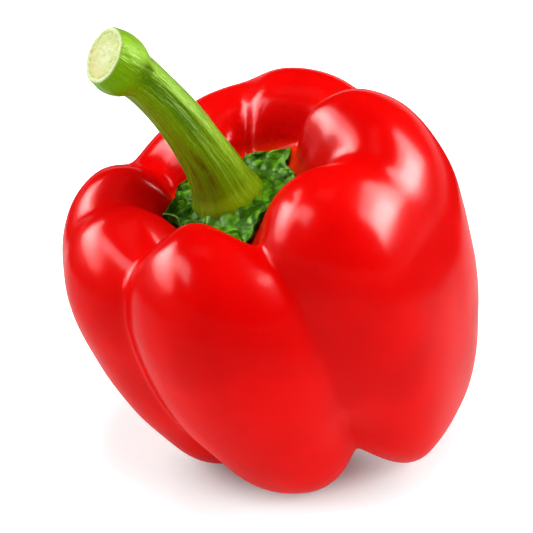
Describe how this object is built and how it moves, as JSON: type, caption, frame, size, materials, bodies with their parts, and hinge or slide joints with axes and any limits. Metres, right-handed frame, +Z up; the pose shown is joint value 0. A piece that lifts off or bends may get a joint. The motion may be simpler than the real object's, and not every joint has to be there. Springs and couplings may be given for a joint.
{
  "type": "bell pepper",
  "caption": "Ripe red bell pepper with rounded lobes, a deep stem hollow, a crinkled green calyx and a curved cut stem.",
  "frame": {"origin": "middle of the footprint, on the surface that the lobe tips stand on", "axes": "+Z up from that surface, -Y towards the front lobe, -X towards the side that the stem leans to"},
  "size_m": [0.0912, 0.0894, 0.1042],
  "materials": {
    "skin": "smooth waxy skin, glossy",
    "calyx": "dark green crinkled leaf",
    "stem": "satin green stalk with a pale cut face"
  },
  "bodies": {
    "root": {"fruit": "skin", "calyx": "calyx", "stem": "stem"}
  },
  "joints": []
}
